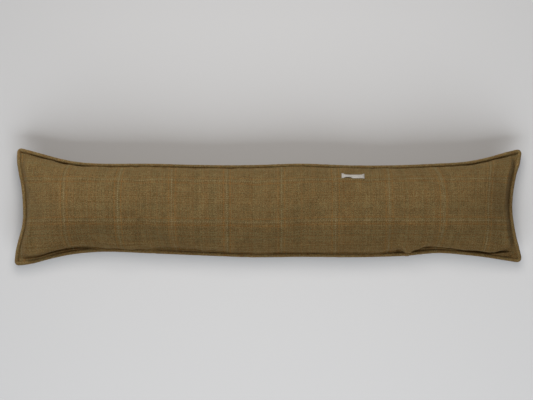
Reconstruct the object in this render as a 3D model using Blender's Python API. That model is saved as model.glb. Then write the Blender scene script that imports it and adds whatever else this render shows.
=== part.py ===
"""Draught excluder: a long stuffed tweed cushion, piped all round, lying on its back.

Metres, +Z up. X runs along the length and -Y is the near long edge. The origin is on the
floor under the middle. The face panel, the back panel and the filling are one solid, which
the piping and the sewn-on label don't touch.
"""

import math
from collections import namedtuple

import bmesh
import bpy
from mathutils import Matrix, Vector

MM = 0.001

# Driving sizes
HALF_LENGTH = 445.3 * MM  # middle to the end seam, at the corners
PIPING_RADIUS = 3.25 * MM
CLEARANCE = 0.3 * MM  # between pieces that touch in the real cushion
END_RISE = 112 * MM  # from an end seam to the full height of the filling
FACE_FULLNESS = 1.22  # over 1 pulls the panel in towards its seam
BACK_DEPTH = 66 * MM  # how far the back would hang below the seam with no floor there
BACK_FULLNESS = 1.15
SEAM_HEIGHT = 45 * MM  # along the sides and in the middle of the ends
CORNER_HEIGHT = 31 * MM
HANG_TURN = -64  # degrees round the section, where the filling hangs out furthest near the seam
HANG_SPREAD = 15
SEAM_WAVE = 1.4 * MM
LUMP_HEIGHT = 1.3 * MM

# Mesh steps
COLUMN_STEP = 11 * MM
BEAK_STEP = 3.4 * MM
END_COLUMNS = 9
PANEL_ROWS = 26
PIPING_STEP = 11 * MM
CORNER_STEPS = 5

# The side seams and the face along the length, in millimetres. far and near are the seams' y,
# crown is the face's height over the seams, and bulge is how far the filling hangs out over
# the near seam.
Section = namedtuple("Section", "x far near crown bulge")
SECTIONS = [
    Section(x=-445.3, far=98.0, near=-98.5, crown=54, bulge=0.0),
    Section(x=-420, far=91.2, near=-95.0, crown=54, bulge=1.0),
    Section(x=-380, far=80.0, near=-85.0, crown=55, bulge=3.0),
    Section(x=-340, far=72.0, near=-77.6, crown=56, bulge=3.0),
    Section(x=-290, far=68.8, near=-74.2, crown=56, bulge=1.5),
    Section(x=-210, far=68.9, near=-76.8, crown=55, bulge=0.5),
    Section(x=-120, far=66.8, near=-80.6, crown=56, bulge=0.5),
    Section(x=-30, far=66.4, near=-83.8, crown=57, bulge=4.5),
    Section(x=60, far=68.9, near=-83.2, crown=56, bulge=5.0),
    Section(x=150, far=66.0, near=-83.8, crown=56, bulge=5.0),
    Section(x=240, far=66.5, near=-81.6, crown=57, bulge=6.0),
    Section(x=300, far=69.1, near=-76.4, crown=56, bulge=3.5),
    Section(x=350, far=72.5, near=-79.8, crown=55, bulge=3.5),
    Section(x=390, far=80.4, near=-84.4, crown=55, bulge=3.5),
    Section(x=425, far=90.6, near=-89.6, crown=54, bulge=1.5),
    Section(x=445.3, far=95.8, near=-92.6, crown=54, bulge=0.0),
]

# How far the end seams lie inside HALF_LENGTH, in millimetres, across the cushion from the near
# corners, at -1, to the far ones, at 1.
Inset = namedtuple("Inset", "across left right")
END_INSETS = [
    Inset(across=-1.0, left=0.6, right=1.2),
    Inset(across=-0.8, left=4.2, right=6.4),
    Inset(across=-0.6, left=9.5, right=12.0),
    Inset(across=-0.4, left=15.2, right=15.9),
    Inset(across=-0.2, left=17.6, right=18.7),
    Inset(across=0.0, left=17.1, right=19.3),
    Inset(across=0.2, left=15.7, right=17.7),
    Inset(across=0.4, left=13.2, right=14.7),
    Inset(across=0.6, left=8.5, right=10.2),
    Inset(across=0.8, left=4.4, right=3.3),
    Inset(across=1.0, left=2.8, right=-1.2),
]
END_FADE = 6  # a power: the ends' hollows die out towards the middle

# The beak: a pointed nip of slack face cloth that hangs over the near piping. Its tip and its
# root are turns round the section, where the near seam is at -90 degrees.
BEAK_X = 247 * MM
BEAK_REACH = 7.5 * MM
BEAK_DROP = 3 * MM
BEAK_TIP = -77
BEAK_ROOT = -57
BEAK_TIP_WIDTH = 3 * MM  # half-widths
BEAK_ROOT_WIDTH = 16 * MM

# The tuck: right of the beak the cloth is set back below a ridge that climbs away from it.
TUCK_END = 315 * MM
TUCK_TOP = -45  # the turn that the ridge climbs to
TUCK_EDGE = 8  # degrees
TUCK_DEPTH = 5 * MM

# The ears: how far in from its two seams a corner stays flat.
EAR_WIDTH = 7 * MM
LEAST_EAR = 0.1 * MM

# The label, a strip of white tape sewn down at its two ends.
LABEL_X = 148.6 * MM
LABEL_Y = 50.4 * MM
LABEL_THICKNESS = 1.0 * MM
LABEL_TURN = math.radians(-1.2)
LABEL_COLUMNS = 16
LABEL_ROWS = 3

# The tape along its length, in millimetres: its width, and how far it stands off the face.
Tape = namedtuple("Tape", "x width lift")
TAPE = [
    Tape(x=-20, width=10.0, lift=0.3),
    Tape(x=-16, width=9.0, lift=0.6),
    Tape(x=-11, width=6.2, lift=1.8),
    Tape(x=-4, width=6.2, lift=2.2),
    Tape(x=2, width=7.8, lift=1.4),
    Tape(x=13, width=8.0, lift=0.7),
    Tape(x=20, width=10.0, lift=0.3),
]


def smooth_step(share):
    share = min(1.0, max(0.0, share))
    return share * share * (3 - 2 * share)


def slope_at(rows, index, column):
    """The table's slope at one row, from the rows beside it."""
    low = rows[max(0, index - 1)]
    high = rows[min(len(rows) - 1, index + 1)]
    return (getattr(high, column) - getattr(low, column)) / (high[0] - low[0])


def curve(rows, column, place):
    """A column of a table at a place in its first column, on a smooth curve through its rows."""
    index = 0
    while index < len(rows) - 2 and rows[index + 1][0] < place:
        index += 1
    low, high = rows[index], rows[index + 1]
    width = high[0] - low[0]
    t = (place - low[0]) / width
    start, end = getattr(low, column), getattr(high, column)
    start_slope = slope_at(rows, index, column) * width
    end_slope = slope_at(rows, index + 1, column) * width
    return (
        start * (1 + 2 * t) * (1 - t) ** 2
        + start_slope * t * (1 - t) ** 2
        + end * t * t * (3 - 2 * t)
        + end_slope * t * t * (t - 1)
    )


def along(rows, column, x):
    """A column of a table of millimetres at x, in metres."""
    return curve(rows, column, x / MM) * MM


def end_shift(x, across):
    """How far the hollow ends move a point along x. across runs from -1, near, to 1, far."""
    share = (HALF_LENGTH + x) / (2 * HALF_LENGTH)
    left = curve(END_INSETS, "left", across) * (1 - share) ** END_FADE
    right = curve(END_INSETS, "right", across) * share**END_FADE
    return (left - right) * MM


def seam_height(x, across):
    """Height of the sheet that the seams lie in: level, and lower at the four corners."""
    out = abs(x) / HALF_LENGTH
    at_corner = min(1.0, out**7 * abs(across) ** 2.5)
    wave = SEAM_WAVE * math.sin(x / (47 * MM) + across) * (1 - out**7)
    return SEAM_HEIGHT + (CORNER_HEIGHT - SEAM_HEIGHT) * at_corner + wave


def rise(x):
    """0 at an end seam and 1 where the filling has its full height."""
    share = min(1.0, (HALF_LENGTH - abs(x)) / END_RISE)
    return (1 - (1 - share) ** 2) ** 0.62


def lumps(x, y):
    """The filling's unevenness, from about -1 to 1."""
    return (
        0.5 * math.sin(x / (39 * MM) + 0.8)
        + 0.3 * math.sin(x / (23 * MM) - y / (31 * MM))
        + 0.2 * math.sin(x / (61 * MM) + y / (17 * MM) + 2.0)
    )


def beak(x, degrees):
    """Share of the beak's reach at a point of the face, by its turn round the section."""
    up = (degrees - BEAK_TIP) / (BEAK_ROOT - BEAK_TIP)
    if up > 1 or up < -0.3:
        return 0.0
    half_width = BEAK_TIP_WIDTH + (BEAK_ROOT_WIDTH - BEAK_TIP_WIDTH) * max(0.0, up)
    level = (1 - up) if up > 0 else (1 + up / 0.3)
    return level * smooth_step(1 - abs(x - BEAK_X) / half_width)


def tuck(x, degrees):
    """Share of the tuck's depth at a point of the face."""
    share = (x - BEAK_X) / (TUCK_END - BEAK_X)
    if not 0 < share < 1:
        return 0.0
    ridge = BEAK_TIP + (TUCK_TOP - BEAK_TIP) * share**0.75
    return smooth_step((ridge - degrees) / TUCK_EDGE) * smooth_step(share * 6) * (1 - share)


def puffed(x, across):
    """Share of the filling's height that the flat ears let through."""
    from_end = HALF_LENGTH - abs(x)
    from_side = (along(SECTIONS, "far", x) - along(SECTIONS, "near", x)) / 2 * (1 - abs(across))
    inside = from_end * from_side / (from_end + from_side + LEAST_EAR)
    at_corner = abs(x / HALF_LENGTH) ** 7 * abs(across) ** 2.5
    return 1 - math.exp(-((inside / (LEAST_EAR + EAR_WIDTH * at_corner)) ** 2))


def plan_point(x, turn):
    """(x, y, across) of the seam sheet under a point of either panel."""
    across = math.sin(turn)
    near, far = along(SECTIONS, "near", x), along(SECTIONS, "far", x)
    y = near + (far - near) * (1 + across) / 2
    return x + end_shift(x, across), y, across


def face_point(x, turn):
    """A point of the face panel. turn runs from -90 degrees, the near seam, to 90, the far one."""
    px, y, across = plan_point(x, turn)
    degrees = math.degrees(turn)
    dome = max(0.0, math.cos(turn)) ** FACE_FULLNESS * rise(x) * puffed(x, across)
    height = (along(SECTIONS, "crown", x) + LUMP_HEIGHT * lumps(x, y)) * dome
    hang = math.exp(-(((degrees - HANG_TURN) / HANG_SPREAD) ** 2))
    seam_hold = smooth_step((90 + degrees) / 14)
    nip = beak(x, degrees)
    out = along(SECTIONS, "bulge", x) * hang + BEAK_REACH * nip - TUCK_DEPTH * tuck(x, degrees)
    z = seam_height(x, across) + height - BEAK_DROP * nip * seam_hold
    return Vector((px, y - out * seam_hold, z))


def back_point(x, turn):
    """A point of the back panel, which the floor flattens at z = 0."""
    px, y, across = plan_point(x, turn)
    seam = seam_height(x, across)
    dome = max(0.0, math.cos(turn)) ** BACK_FULLNESS * rise(x) * puffed(x, across)
    hang = BACK_DEPTH * dome / seam
    if hang > 1.25:
        hang = 1.0
    elif hang > 0.75:
        hang -= (hang - 0.75) ** 2
    return Vector((px, y, seam * (1 - hang)))


def columns():
    """x of each column of the cushion's mesh: closer at the ends and across the beak."""
    inner = HALF_LENGTH - END_RISE
    quarter = math.pi / 2 / END_COLUMNS
    end = [HALF_LENGTH - END_RISE * (1 - math.cos(quarter * k)) for k in range(END_COLUMNS)]
    places = [-x for x in end]
    x = -inner
    while x < inner - COLUMN_STEP / 2:
        places.append(x)
        near_beak = BEAK_X - BEAK_ROOT_WIDTH < x < BEAK_X + BEAK_ROOT_WIDTH * 1.5
        x += BEAK_STEP if near_beak else COLUMN_STEP
    places.append(inner)
    return places + end[::-1]


def make_object(name, data, material, origin):
    """Links a mesh or a curve to the scene, with its material, as a child of the origin empty."""
    obj = bpy.data.objects.new(name, data)
    data.materials.append(material)
    bpy.context.scene.collection.objects.link(obj)
    obj.parent = origin
    return obj


def cloth_material(name, colour, roughness):
    material = bpy.data.materials.new(name)
    material.use_nodes = True
    shader = material.node_tree.nodes["Principled BSDF"]
    shader.inputs["Base Color"].default_value = (*colour, 1)
    shader.inputs["Roughness"].default_value = roughness
    shader.inputs["Metallic"].default_value = 0
    return material


def add_panel(mesh, places, point, rows, seams, flip):
    """Adds one panel's faces to mesh, between seam vertices that the two panels share."""
    grid = []
    for index, x in enumerate(places):
        at_end = index in (0, len(places) - 1)
        line = [seams[index, 0]]
        for row in range(1, rows):
            turn = math.pi * (row / rows - 0.5)
            line.append(seams[index, row] if at_end else mesh.verts.new(point(x, turn)))
        line.append(seams[index, rows])
        grid.append(line)
    for left, right in zip(grid, grid[1:]):
        for row in range(rows):
            corners = [left[row], right[row], right[row + 1], left[row + 1]]
            corners = [v for k, v in enumerate(corners) if v is not corners[k - 1]]
            if len(corners) > 2:
                mesh.faces.new(corners[::-1] if flip else corners)


def seam_vertices(mesh, places, rows):
    """The vertices of the end seams, a row for each of the panel's rows, and of the side seams."""
    found = {}
    last = len(places) - 1
    for index, x in enumerate(places):
        wanted = range(rows + 1) if index in (0, last) else (0, rows)
        for row in wanted:
            turn = math.pi * (row / rows - 0.5)
            found[index, row] = mesh.verts.new(face_point(x, turn))
    return found


def make_cushion(material, origin):
    """Face panel, back panel and filling as one closed solid."""
    mesh = bmesh.new()
    places = columns()
    seams = seam_vertices(mesh, places, PANEL_ROWS)
    add_panel(mesh, places, face_point, PANEL_ROWS, seams, flip=False)
    add_panel(mesh, places, back_point, PANEL_ROWS, seams, flip=True)
    data = bpy.data.meshes.new("cushion")
    mesh.to_mesh(data)
    mesh.free()
    data.shade_smooth()
    return make_object("cushion", data, material, origin)


def side_run(turn, inset):
    """x places along a side seam, evenly spaced between the corners, with one close to each."""
    count = round(2 * HALF_LENGTH / PIPING_STEP)
    step = 2 * HALF_LENGTH / count
    places = [-HALF_LENGTH + step * k for k in range(count + 1)]
    places[1:1] = [places[0] + inset]
    places[-1:-1] = [places[-1] - inset]
    return [face_point(x, turn) for x in places]


def end_run(x):
    """Points up an end seam, from its near corner to its far one."""
    width = along(SECTIONS, "far", x) - along(SECTIONS, "near", x)
    count = round(width / PIPING_STEP)
    return [face_point(x, math.asin(2 * k / count - 1)) for k in range(count + 1)]


def outward_normals(run):
    """Level normals on the right-hand side of a run of points."""
    normals = []
    for index in range(len(run)):
        before = run[max(0, index - 1)]
        after = run[min(len(run) - 1, index + 1)]
        direction = after - before
        normals.append(Vector((direction.y, -direction.x, 0)).normalized())
    return normals


def piping_path():
    """Centreline of the piping, anticlockwise from the near left corner, arcs at the corners."""
    inset = 3 * MM
    runs = [
        side_run(-math.pi / 2, inset),
        end_run(HALF_LENGTH),
        side_run(math.pi / 2, inset)[::-1],
        end_run(-HALF_LENGTH)[::-1],
    ]
    offset = PIPING_RADIUS + CLEARANCE
    sides = [(run, outward_normals(run)) for run in runs]
    path = []
    for index, (run, normals) in enumerate(sides):
        path += [point + normal * offset for point, normal in zip(run, normals)]
        next_normal = sides[(index + 1) % len(sides)][1][0]
        for step in range(1, CORNER_STEPS):
            turned = normals[-1].slerp(next_normal, step / CORNER_STEPS)
            path.append(run[-1] + turned * offset)
    return path


def make_piping(material, origin):
    """One covered cord, its two ends joined, all the way round the seam."""
    curve = bpy.data.curves.new("piping", "CURVE")
    curve.dimensions = "3D"
    curve.bevel_depth = PIPING_RADIUS
    curve.bevel_resolution = 2
    points = piping_path()
    spline = curve.splines.new("POLY")
    spline.points.add(len(points) - 1)
    for place, point in zip(spline.points, points):
        place.co = (*point, 1)
    spline.use_cyclic_u = True
    return make_object("piping", curve, material, origin)


def face_height(x, y):
    """The face's z at a place on its far half."""
    low, high = 0.0, math.pi / 2
    for _ in range(40):
        turn = (low + high) / 2
        if face_point(x, turn).y < y:
            low = turn
        else:
            high = turn
    return face_point(x, turn).z


def face_normal(x, y):
    """The face's outward normal at a place on its far half."""
    step = 0.5 * MM
    z = face_height(x, y)
    slope_x = (face_height(x + step, y) - z) / step
    slope_y = (face_height(x, y + step) - z) / step
    return Vector((-slope_x, -slope_y, 1)).normalized()


def make_label(material, origin):
    """A strip of tape on the face's far slope, held at its ends and loose between them."""
    mesh = bmesh.new()
    turn = Matrix.Rotation(LABEL_TURN, 2)
    steepness = face_normal(LABEL_X, LABEL_Y).z
    length = (TAPE[-1].x - TAPE[0].x) * MM
    grid = []
    for column in range(LABEL_COLUMNS + 1):
        place = (column / LABEL_COLUMNS - 0.5) * length
        width = along(TAPE, "width", place)
        line = []
        for row in range(LABEL_ROWS + 1):
            flat = turn @ Vector((place, width * steepness * (row / LABEL_ROWS - 0.5)))
            x, y = LABEL_X + flat.x, LABEL_Y + flat.y
            on_face = Vector((x, y, face_height(x, y)))
            line.append(mesh.verts.new(on_face + face_normal(x, y) * along(TAPE, "lift", place)))
        grid.append(line)
    for left, right in zip(grid, grid[1:]):
        for row in range(LABEL_ROWS):
            mesh.faces.new([left[row], right[row], right[row + 1], left[row + 1]])
    data = bpy.data.meshes.new("label")
    mesh.to_mesh(data)
    mesh.free()
    label = make_object("label", data, material, origin)
    tape = label.modifiers.new("tape", "SOLIDIFY")
    tape.thickness = LABEL_THICKNESS
    tape.offset = 1
    return label


def clear_scene():
    for obj in list(bpy.data.objects):
        bpy.data.objects.remove(obj)


def main():
    clear_scene()
    origin = bpy.data.objects.new("draught_excluder", None)
    bpy.context.scene.collection.objects.link(origin)
    tweed = cloth_material("tweed", (0.150, 0.106, 0.044), 0.9)
    piping_tweed = cloth_material("piping_tweed", (0.150, 0.096, 0.035), 0.9)
    tape = cloth_material("label_tape", (0.70, 0.68, 0.64), 0.6)
    make_cushion(tweed, origin)
    make_piping(piping_tweed, origin)
    make_label(tape, origin)


main()
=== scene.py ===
"""The looks of the draught excluder: a stuffed and piped tweed cushion on a pale floor.

Metres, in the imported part's frame: X along the length, -Y the near long edge, the floor at z = 0.
The shape comes from the same tables and rules as the solids, with finer folds added.
"""

import math
from collections import namedtuple

import bpy
import numpy as np
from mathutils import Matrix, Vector


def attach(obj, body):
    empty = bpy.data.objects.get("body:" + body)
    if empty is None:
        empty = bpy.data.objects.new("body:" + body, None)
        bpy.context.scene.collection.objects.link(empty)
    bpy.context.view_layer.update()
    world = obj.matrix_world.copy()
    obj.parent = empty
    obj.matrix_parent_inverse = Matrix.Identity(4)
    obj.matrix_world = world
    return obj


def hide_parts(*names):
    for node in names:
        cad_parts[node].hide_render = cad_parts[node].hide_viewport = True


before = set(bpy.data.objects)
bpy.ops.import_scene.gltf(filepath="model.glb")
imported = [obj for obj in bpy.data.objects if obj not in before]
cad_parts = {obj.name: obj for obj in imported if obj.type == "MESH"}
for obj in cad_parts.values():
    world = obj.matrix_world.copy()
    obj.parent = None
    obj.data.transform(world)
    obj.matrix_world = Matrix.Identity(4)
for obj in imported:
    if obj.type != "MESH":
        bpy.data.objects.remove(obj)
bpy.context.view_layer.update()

MM = 0.001

# The solids' driving sizes
HALF_LENGTH = 445.3 * MM
PIPING_RADIUS = 3.25 * MM
END_RISE = 112 * MM
FACE_FULLNESS = 1.22
BACK_DEPTH = 66 * MM
BACK_FULLNESS = 1.15
SEAM_HEIGHT = 45 * MM
CORNER_HEIGHT = 31 * MM
HANG_TURN = -64
HANG_SPREAD = 15
SEAM_WAVE = 1.4 * MM
LUMP_HEIGHT = 1.3 * MM

# In millimetres: far and near are the side seams' y, and crown the face's height over the seams.
Section = namedtuple("Section", "x far near crown")
SECTIONS = [
    Section(x=-445.3, far=98.0, near=-98.5, crown=54),
    Section(x=-420, far=91.2, near=-95.0, crown=54),
    Section(x=-380, far=80.0, near=-85.0, crown=55),
    Section(x=-340, far=72.0, near=-77.6, crown=56),
    Section(x=-290, far=68.8, near=-74.2, crown=56),
    Section(x=-210, far=68.9, near=-76.8, crown=55),
    Section(x=-120, far=66.8, near=-80.6, crown=56),
    Section(x=-30, far=66.4, near=-83.8, crown=57),
    Section(x=60, far=68.9, near=-83.2, crown=56),
    Section(x=150, far=66.0, near=-83.8, crown=56),
    Section(x=240, far=66.5, near=-81.6, crown=57),
    Section(x=300, far=69.1, near=-76.4, crown=56),
    Section(x=350, far=72.5, near=-79.8, crown=55),
    Section(x=390, far=80.4, near=-84.4, crown=55),
    Section(x=425, far=90.6, near=-89.6, crown=54),
    Section(x=445.3, far=95.8, near=-92.6, crown=54),
]

# How far the end seams lie inside HALF_LENGTH, in millimetres, from the near corners, at -1, to
# the far ones, at 1.
Inset = namedtuple("Inset", "across left right")
END_INSETS = [
    Inset(across=-1.0, left=0.6, right=1.2),
    Inset(across=-0.8, left=4.2, right=6.4),
    Inset(across=-0.6, left=9.5, right=12.0),
    Inset(across=-0.4, left=15.2, right=15.9),
    Inset(across=-0.2, left=17.6, right=18.7),
    Inset(across=0.0, left=17.1, right=19.3),
    Inset(across=0.2, left=15.7, right=17.7),
    Inset(across=0.4, left=13.2, right=14.7),
    Inset(across=0.6, left=8.5, right=10.2),
    Inset(across=0.8, left=4.4, right=3.3),
    Inset(across=1.0, left=2.8, right=-1.2),
]
END_FADE = 6  # a power: the ends' hollows die out towards the middle

# The beak: a pointed nip of slack cloth over the near piping. Its tip and root are turns round the
# section, where the near seam is at -90 degrees, and its widths are half-widths.
BEAK_X = 247 * MM
BEAK_REACH = 8.0 * MM
BEAK_DROP = 3 * MM
BEAK_TIP = -77
BEAK_ROOT = -57
BEAK_TIP_WIDTH = 8 * MM
BEAK_ROOT_WIDTH = 20 * MM
BEAK_BLUNTNESS = 1.5
BEAK_UNDERSIDE = 0.3  # how far it goes on below its tip, as a share of its rise

# The tuck: right of the beak the cloth is set back below a ridge that climbs away from it.
TUCK_END = 315 * MM
TUCK_TOP = -45
TUCK_EDGE = 8  # degrees
TUCK_DEPTH = 5 * MM

EAR_WIDTH = 7 * MM  # how far in from its two seams a corner stays flat
LEAST_EAR = 0.1 * MM

LABEL_X = 148.6 * MM
LABEL_Y = 51.1 * MM
LABEL_TURN = math.radians(-1.2)
# The label's tape along its length, in millimetres. Lift is how far it stands off the face, and dip
# how far it sags towards the near seam.
Tape = namedtuple("Tape", "x width lift dip")
TAPE = [
    Tape(x=-20, width=9.8, lift=0.2, dip=0.0),
    Tape(x=-16.5, width=8.8, lift=0.3, dip=0.0),
    Tape(x=-14, width=5.6, lift=1.0, dip=0.5),
    Tape(x=-9, width=4.6, lift=1.9, dip=0.7),
    Tape(x=-4, width=4.8, lift=1.9, dip=0.7),
    Tape(x=-1, width=6.8, lift=1.1, dip=0.8),
    Tape(x=3, width=7.2, lift=0.9, dip=0.8),
    Tape(x=14, width=7.2, lift=0.6, dip=0.6),
    Tape(x=16.5, width=8.4, lift=0.4, dip=0.3),
    Tape(x=20, width=10.4, lift=0.2, dip=-0.6),
]

# Beside the side seams, in millimetres: the ears, which are the flat strips of seam allowance
# along the far and the near seam. Over is how far the filling hangs out over the near one, crease
# how deep the fold behind that is, and groove the share of GROOVE_DEPTH at the near seam.
Edge = namedtuple("Edge", "x far near over groove crease")
EDGES = [Edge(*row) for row in (
    (-445.3, 4.8, 7.0, 1.0, 0.2, 0),
    (-425, 4.0, 9.0, 3.0, 0.2, 1),
    (-400, 3.0, 9.2, 3.6, 0.2, 4),
    (-375, 2.6, 8.8, 4.0, 0.2, 5),
    (-350, 1.8, 8.8, 4.2, 0.2, 5),
    (-325, 1.4, 7.4, 3.6, 0.2, 3),
    (-303, 1.2, 4.4, 3.4, 0.2, 0),
    (-285, 1.0, 1.8, 4.6, 0.2, 0),
    (-246, 1.0, 1.6, 5.0, 0.2, 0),
    (-205, 1.0, 4.4, 2.0, 0.1, 0),
    (-170, 1.0, 5.6, 1.4, 0.1, 0),
    (-110, 1.0, 5.4, 1.6, 0.1, 0),
    (-60, 1.0, 4.8, 1.8, 0.1, 0),
    (-20, 1.0, 4.0, 2.2, 0.1, 0.3),
    (60, 1.0, 4.0, 2.2, 0.1, 0.3),
    (150, 1.0, 4.0, 2.2, 0.1, 0.3),
    (225, 1.0, 4.2, 2.8, 0.2, 1),
    (271, 1.2, 5.4, 4.0, 0.3, 4),
    (320, 1.6, 6.2, 3.4, 0.4, 3),
    (350, 2.0, 5.0, 3.4, 0.6, 6),
    (377, 2.8, 5.2, 3.0, 0.8, 10),
    (390, 3.0, 5.4, 2.8, 0.7, 11),
    (399, 3.4, 7.4, 3.4, 0.4, 13),
    (406, 3.6, 10.6, 4.8, 0.2, 13),
    (413, 3.8, 13.8, 6.0, 0.2, 12),
    (420, 4.0, 16.0, 6.4, 0.2, 9),
    (427, 4.2, 19.0, 6.0, 0.2, 7),
    (434, 4.6, 20.5, 4.6, 0.2, 2),
    (445.3, 5.0, 17.0, 2.0, 0.2, 0),
)]
# Powers: how abruptly the cloth rises where a narrow ear ends, and where the widest does
EAR_EDGE = 6
WIDE_EAR_EDGE = 14
NARROW_EAR = 4 * MM
EAR_RANGE = 10 * MM  # from a narrow ear's width to the widest one's
EAR_LIFT = 2.6 * MM  # how high the near ears rise towards the crease
EAR_LIFT_REACH = 0.8  # the share of an ear's width that does
EAR_LIFT_FADE = 20 * MM  # the rise dies out so far from an end
CREASE_PLACE = 0.58  # the crease behind an ear, as a share of its width
CREASE_WIDTH = 1.5 * MM
END_EAR = 2.8 * MM
WIDE_EAR = 3 * MM
EAR_TURN = 1.0 / MM  # degrees that the overhang moves up round the section for a wider ear
OVERHANG_FROM = 2 * MM  # height over the seam where the overhang starts
OVERHANG_RISE = 9 * MM
SEAM_HOLD = 14  # degrees round the section from the near seam, over which it holds the cloth in
FLAT_FROM = 0.75  # shares of the back's hang: there the floor starts to flatten it
FLAT_TO = 1.25
# The crest: the line along the face, in millimetres, that its two slopes fall away from.
Crest = namedtuple("Crest", "x y")
CREST = [
    Crest(x=-445.3, y=-6),
    Crest(x=-360, y=-9),
    Crest(x=-250, y=-12),
    Crest(x=-130, y=-17),
    Crest(x=-60, y=-14),
    Crest(x=20, y=-3),
    Crest(x=120, y=2),
    Crest(x=230, y=5),
    Crest(x=330, y=8),
    Crest(x=445.3, y=10),
]
CREST_DROP = 6 * MM  # how much lower the slopes would be at the seams
CREST_WIDTH = 0.12  # half the crest's rounding, as a share of half the cushion's width
CREST_FADE = 0.25  # the share of that beside each seam, over which the slopes start

# The rolls: fuller cloth beside a seam, and the hollow behind it. Millimetres from the seam.
Roll = namedtuple("Roll", "height at width hollow hollow_at hollow_width")
NEAR_ROLL = Roll(height=2.4, at=9, width=5, hollow=1.6, hollow_at=30, hollow_width=14)
FAR_ROLL = Roll(height=0.8, at=8, width=5, hollow=0.6, hollow_at=26, hollow_width=12)
END_ROLL = Roll(height=3.0, at=11, width=5, hollow=2.2, hollow_at=31, hollow_width=13)
ROLL_END_FADE = 45 * MM  # the side rolls die out towards the ends, and the end ones towards the sides
ROLL_SIDE_FADE = 30 * MM

GROOVE_DEPTH = 2.6 * MM  # how far the seam is drawn down beside the piping
END_GROOVE = 0.3  # its share of that at the ends
EAR_GROOVE = 0.25  # and at the end of the near seam's ears
EAR_GROOVE_REACH = 32 * MM
EAR_GROOVE_FADE = 20 * MM
GROOVE_WIDTH = 2.2 * MM
GROOVE_TUCK = 2.2 * MM  # how far the seam goes in under the piping
HALF_WIDTH = 80 * MM  # of the cushion, about, for the reach of that tuck

# Mesh steps of what shows
COLUMN_STEP = 2.5 * MM
BEAK_STEP = 1.2 * MM
END_STEP = 0.8 * MM
END_GROWTH = 0.12  # of the steps away from an end
BEAK_SPAN = (BEAK_X - 22 * MM, BEAK_X + 55 * MM)  # where the steps are the beak's
PANEL_ROWS = 96
SEAM_CROWDING = 0.5  # 0 spaces the rows evenly, and more crowds them towards the seams
SETTLE_COLUMNS = 150
SETTLE_ROWS = 26

BACK_PLACE = 0.5  # metres on in the cloth's unevenness, so that the back isn't the face's copy

# The stuffing's simulation
PRESSURE = 4
SLACK = 0.02  # how much longer the cloth is than the shape it starts from
SETTLE_FRAMES = 20
SETTLE_CAP = 4 * MM
SETTLE_SHARE = 0.55  # how much of the folds it makes is kept
SETTLE_SMOOTHING = 60  # passes that find the slow swelling under the folds


def smooth_step(share):
    share = np.clip(share, 0, 1)
    return share * share * (3 - 2 * share)


def bell(distance, width):
    """1 at no distance, falling to 0 over about twice the width."""
    return np.exp(-((distance / width) ** 2))


def curve(rows, column, place):
    """A column of a table at a place in its first column, on a smooth curve through its rows."""
    places = np.array([row[0] for row in rows], float)
    values = np.array([getattr(row, column) for row in rows], float)
    before = np.maximum(np.arange(len(rows)) - 1, 0)
    after = np.minimum(np.arange(len(rows)) + 1, len(rows) - 1)
    slopes = (values[after] - values[before]) / (places[after] - places[before])
    low = np.clip(np.searchsorted(places, place, side="right") - 1, 0, len(rows) - 2)
    width = places[low + 1] - places[low]
    t = (place - places[low]) / width
    return (
        values[low] * (1 + 2 * t) * (1 - t) ** 2
        + slopes[low] * width * t * (1 - t) ** 2
        + values[low + 1] * t * t * (3 - 2 * t)
        + slopes[low + 1] * width * t * t * (t - 1)
    )


def along(rows, column, x):
    """A column of a table of millimetres at x, in metres."""
    return curve(rows, column, x / MM) * MM


def end_shift(x, across):
    share = (HALF_LENGTH + x) / (2 * HALF_LENGTH)
    left = curve(END_INSETS, "left", across) * (1 - share) ** END_FADE
    right = curve(END_INSETS, "right", across) * share**END_FADE
    return (left - right) * MM


def seam_distance(x, across):
    """Distance in plan from the nearer side seam, and from the nearer end seam."""
    width = along(SECTIONS, "far", x) - along(SECTIONS, "near", x)
    return width / 2 * (1 - np.abs(across)), HALF_LENGTH - np.abs(x)


def at_corner(x, across):
    """1 at the four corners, and 0 away from them."""
    return np.abs(x / HALF_LENGTH) ** 7 * np.abs(across) ** 2.5


def seam_height(x, across):
    wave = SEAM_WAVE * np.sin(x / (47 * MM) + across) * (1 - np.abs(x / HALF_LENGTH) ** 7)
    return SEAM_HEIGHT + (CORNER_HEIGHT - SEAM_HEIGHT) * at_corner(x, across) + wave


def rise(x):
    share = np.minimum(1.0, (HALF_LENGTH - np.abs(x)) / END_RISE)
    return np.maximum(0, 1 - (1 - share) ** 2) ** 0.62


def lumps(x, y):
    return (
        0.5 * np.sin(x / (39 * MM) + 0.8)
        + 0.3 * np.sin(x / (23 * MM) - y / (31 * MM))
        + 0.2 * np.sin(x / (61 * MM) + y / (17 * MM) + 2.0)
    )


def beak(x, degrees):
    up = (degrees - BEAK_TIP) / (BEAK_ROOT - BEAK_TIP)
    half_width = BEAK_TIP_WIDTH + (BEAK_ROOT_WIDTH - BEAK_TIP_WIDTH) * np.maximum(0.0, up)
    level = np.clip(np.where(up > 0, 1 - up, 1 + up / BEAK_UNDERSIDE), 0, 1)
    return level * smooth_step(BEAK_BLUNTNESS * (1 - np.abs(x - BEAK_X) / half_width))


def tuck(x, degrees):
    share = (x - BEAK_X) / (TUCK_END - BEAK_X)
    inside = np.clip(share, 0, 1)
    ridge = BEAK_TIP + (TUCK_TOP - BEAK_TIP) * inside**0.75
    depth = smooth_step((ridge - degrees) / TUCK_EDGE) * smooth_step(inside * 6) * (1 - inside)
    return np.where((share > 0) & (share < 1), depth, 0)


def puffed(x, across):
    """Share of the filling's height that the flat corners let through."""
    from_side, from_end = seam_distance(x, across)
    inside = from_end * from_side / (from_end + from_side + LEAST_EAR)
    return 1 - bell(inside, LEAST_EAR + EAR_WIDTH * at_corner(x, across))


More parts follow.
